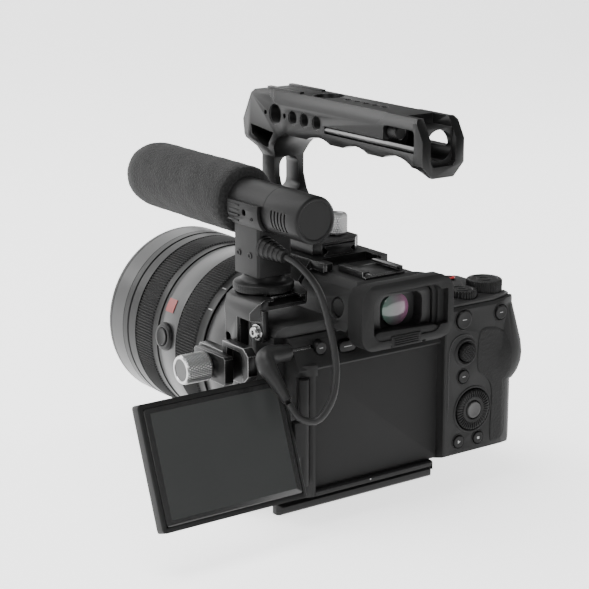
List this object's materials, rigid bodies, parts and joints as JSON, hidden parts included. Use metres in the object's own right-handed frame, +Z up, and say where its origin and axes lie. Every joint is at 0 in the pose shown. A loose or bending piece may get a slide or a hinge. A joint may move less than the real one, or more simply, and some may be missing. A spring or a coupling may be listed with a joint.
{
  "type": "cinema camera rig",
  "caption": "Mirrorless camera with zoom lens, flip-out screen, half cage and base plate, quick-release top handle, and a shoe microphone with foam windscreen and cable.",
  "frame": {"origin": "on the flat underside of the base plate, below the lens axis, 12.6 mm behind the plate's front edge", "axes": "+Z up, +Y forward along the lens axis, +X towards the camera's grip side"},
  "size_m": [0.2039, 0.205, 0.1804],
  "materials": {
    "magnesium": "matte",
    "shell": "matte",
    "plastic": "matte",
    "rubber": "matte",
    "anodised": "satin",
    "barrel": "satin",
    "silver": "satin",
    "alloy": "satin",
    "steel": "satin",
    "glass": "polished",
    "screen_glass": "polished",
    "foam": "matte",
    "red": "satin",
    "cable": "satin"
  },
  "bodies": {
    "rig": {"body_core": "magnesium", "rear_cover": "shell", "grip_rubber": "rubber", "top_cover": "shell", "lens_mount_ring": "steel", "image_sensor": "glass", "hot_shoe": "anodised", "eyecup": "rubber", "eyepiece_frame": "plastic", "eyepiece_lens": "glass", "lens_rear_barrel": "barrel", "lens_mid_barrel": "barrel", "lens_front_barrel": "barrel", "front_element": "glass", "base_plate": "anodised", "cage_frame": "anodised", "lug_screw": "steel", "clamp_bracket": "anodised", "mic_tube": "plastic", "mic_mount": "plastic", "mic_shoe_foot": "steel", "mic_plug": "cable", "mic_cable": "cable"},
    "mode_dial": {"mode_dial": "plastic"},
    "ev_dial": {"ev_dial": "plastic"},
    "rear_dial": {"rear_dial": "plastic"},
    "front_dial": {"front_dial": "plastic"},
    "power_lever": {"power_lever": "plastic"},
    "shutter_button": {"shutter_button": "plastic"},
    "button_rec": {"button_rec": "red"},
    "diopter_dial": {"diopter_dial": "plastic"},
    "control_wheel": {"control_wheel": "plastic"},
    "wheel_button": {"wheel_button": "plastic"},
    "joystick": {"joystick": "rubber"},
    "button_fn": {"button_fn": "plastic"},
    "button_play": {"button_play": "plastic"},
    "button_delete": {"button_delete": "plastic"},
    "button_af_on": {"button_af_on": "plastic"},
    "button_ael": {"button_ael": "plastic"},
    "button_c3": {"button_c3": "plastic"},
    "button_menu": {"button_menu": "plastic"},
    "battery_door": {"battery_door": "plastic"},
    "port_door": {"port_door": "rubber"},
    "screen_hinge": {"screen_hinge": "plastic"},
    "zoom_ring": {"zoom_ring": "rubber"},
    "focus_ring": {"focus_ring": "rubber"},
    "focus_hold_button": {"focus_hold_button": "plastic"},
    "clamp_jaw": {"clamp_jaw": "anodised"},
    "clamp_knob": {"clamp_knob": "alloy"},
    "nato_jaw": {"nato_jaw": "anodised"},
    "nato_knob": {"nato_knob": "silver"},
    "rod_screw": {"rod_screw": "steel"},
    "mic_lock_ring": {"mic_lock_ring": "plastic"},
    "camera_screw": {"camera_screw": "steel"},
    "hex_key": {"hex_key": "steel"},
    "mic_foam": {"mic_foam": "foam"},
    "screen": {"screen_panel": "plastic", "screen_glass": "screen_glass"},
    "top_handle": {"nato_clamp": "anodised", "handle": "anodised"}
  },
  "joints": [
    {"name": "mode_dial_turn", "type": "hinge", "parent": "rig", "child": "mode_dial", "pos_m": [0.0366, -0.0182, 0.092], "axis": [0, 0, 1], "continuous": true},
    {"name": "ev_dial_turn", "type": "hinge", "parent": "rig", "child": "ev_dial", "pos_m": [0.0653, -0.0331, 0.091], "axis": [0, 0, 1], "range_deg": [-150, 150]},
    {"name": "rear_dial_turn", "type": "hinge", "parent": "rig", "child": "rear_dial", "pos_m": [0.05, -0.0355, 0.089], "axis": [0, 0, 1], "continuous": true},
    {"name": "front_dial_turn", "type": "hinge", "parent": "rig", "child": "front_dial", "pos_m": [0.062, 0.0126, 0.075], "axis": [0, 0, 1], "continuous": true},
    {"name": "power_lever_turn", "type": "hinge", "parent": "rig", "child": "power_lever", "pos_m": [0.0656, 0.007, 0.084], "axis": [0, 0, 1], "range_deg": [0, 40]},
    {"name": "diopter_turn", "type": "hinge", "parent": "rig", "child": "diopter_dial", "pos_m": [-0.017, -0.0355, 0.094], "axis": [1, 0, 0], "range_deg": [-90, 90]},
    {"name": "control_wheel_turn", "type": "hinge", "parent": "rig", "child": "control_wheel", "pos_m": [0.0493, -0.044, 0.0373], "axis": [0, -1, 0], "continuous": true},
    {"name": "joystick_tilt", "type": "hinge", "parent": "rig", "child": "joystick", "pos_m": [0.0446, -0.0415, 0.0652], "axis": [1, 0, 0], "range_deg": [-4, 4], "stiffness_Nm_per_rad": 0.02},
    {"name": "shutter_button_press", "type": "slide", "parent": "rig", "child": "shutter_button", "axis": [0, 0, -1], "range_m": [0, 0.0003], "stiffness_N_per_m": 900},
    {"name": "button_rec_press", "type": "slide", "parent": "rig", "child": "button_rec", "axis": [0, 0, -1], "range_m": [0, 0.0004], "stiffness_N_per_m": 900},
    {"name": "button_fn_press", "type": "slide", "parent": "rig", "child": "button_fn", "axis": [0, 1, 0], "range_m": [0, 0.0004], "stiffness_N_per_m": 900},
    {"name": "button_play_press", "type": "slide", "parent": "rig", "child": "button_play", "axis": [0, 1, 0], "range_m": [0, 0.0004], "stiffness_N_per_m": 900},
    {"name": "button_delete_press", "type": "slide", "parent": "rig", "child": "button_delete", "axis": [0, 1, 0], "range_m": [0, 0.0004], "stiffness_N_per_m": 900},
    {"name": "button_af_on_press", "type": "slide", "parent": "rig", "child": "button_af_on", "axis": [0, 1, 0], "range_m": [0, 0.0004], "stiffness_N_per_m": 900},
    {"name": "button_ael_press", "type": "slide", "parent": "rig", "child": "button_ael", "axis": [0, 1, 0], "range_m": [0, 0.0004], "stiffness_N_per_m": 900},
    {"name": "wheel_button_press", "type": "slide", "parent": "rig", "child": "wheel_button", "axis": [0, 1, 0], "range_m": [0, 0.0003], "stiffness_N_per_m": 900},
    {"name": "button_c3_press", "type": "slide", "parent": "rig", "child": "button_c3", "axis": [0, 1, 0], "range_m": [0, 0.0003], "stiffness_N_per_m": 900},
    {"name": "button_menu_press", "type": "slide", "parent": "rig", "child": "button_menu", "axis": [0, 1, 0], "range_m": [0, 0.0003], "stiffness_N_per_m": 900},
    {"name": "focus_hold_button_press", "type": "slide", "parent": "rig", "child": "focus_hold_button", "axis": [0.9934, 0, -0.1149], "range_m": [0, 0.0004], "stiffness_N_per_m": 900},
    {"name": "battery_door_open", "type": "hinge", "parent": "rig", "child": "battery_door", "pos_m": [0.0482, -0.009, 0.012], "axis": [0, 1, 0], "range_deg": [0, 95]},
    {"name": "port_door_open", "type": "hinge", "parent": "rig", "child": "port_door", "pos_m": [-0.0486, -0.0284, 0.06], "axis": [0, 0, 1], "range_deg": [0, 30]},
    {"name": "screen_swing", "type": "hinge", "parent": "rig", "child": "screen_hinge", "pos_m": [-0.0431, -0.04275, 0.0437], "axis": [0, 0, 1], "range_deg": [0, 20]},
    {"name": "screen_tilt", "type": "hinge", "parent": "screen_hinge", "child": "screen", "pos_m": [-0.049, -0.04275, 0.0437], "axis": [-1, 0, 0], "range_deg": [-4, 10]},
    {"name": "zoom_ring_turn", "type": "hinge", "parent": "rig", "child": "zoom_ring", "pos_m": [0, 0.051, 0.0545], "axis": [0, 1, 0], "range_deg": [-30, 60]},
    {"name": "focus_ring_turn", "type": "hinge", "parent": "rig", "child": "focus_ring", "pos_m": [0, 0.089, 0.0545], "axis": [0, 1, 0], "continuous": true},
    {"name": "clamp_jaw_slide", "type": "slide", "parent": "rig", "child": "clamp_jaw", "axis": [-1, 0, 0], "range_m": [0, 0.0014]},
    {"name": "clamp_knob_turn", "type": "hinge", "parent": "clamp_jaw", "child": "clamp_knob", "pos_m": [-0.07, -0.005, 0.069], "axis": [1, 0, 0], "range_deg": [0, 720]},
    {"name": "handle_slide", "type": "slide", "parent": "rig", "child": "top_handle", "axis": [0, 1, 0], "range_m": [-0.004, 0.008]},
    {"name": "nato_jaw_slide", "type": "slide", "parent": "top_handle", "child": "nato_jaw", "axis": [1, 0, 0], "range_m": [0, 0.0015]},
    {"name": "nato_knob_turn", "type": "hinge", "parent": "top_handle", "child": "nato_knob", "pos_m": [0.0066, 0.002, 0.12], "axis": [0, 0, 1], "range_deg": [0, 720]},
    {"name": "rod_screw_turn", "type": "hinge", "parent": "top_handle", "child": "rod_screw", "pos_m": [-0.0066, -0.057, 0.1717], "axis": [0, 1, 0], "range_deg": [0, 360]},
    {"name": "hex_key_pull", "type": "slide", "parent": "top_handle", "child": "hex_key", "axis": [-1, 0, 0], "range_m": [0, 0.01]},
    {"name": "camera_screw_turn", "type": "hinge", "parent": "rig", "child": "camera_screw", "pos_m": [0, -0.015, 0.003], "axis": [0, 0, 1], "continuous": true},
    {"name": "mic_lock_ring_turn", "type": "hinge", "parent": "rig", "child": "mic_lock_ring", "pos_m": [-0.0405, -0.0092, 0.102], "axis": [0, 0, 1], "continuous": true},
    {"name": "mic_foam_pull", "type": "slide", "parent": "rig", "child": "mic_foam", "axis": [0, 1, 0], "range_m": [0, 0.092]}
  ],
  "couplings": [
    {"joint": "clamp_jaw_slide", "follows": "clamp_knob_turn", "m_per_rad": 0.00011136},
    {"joint": "nato_jaw_slide", "follows": "nato_knob_turn", "m_per_rad": 0.00011932}
  ]
}
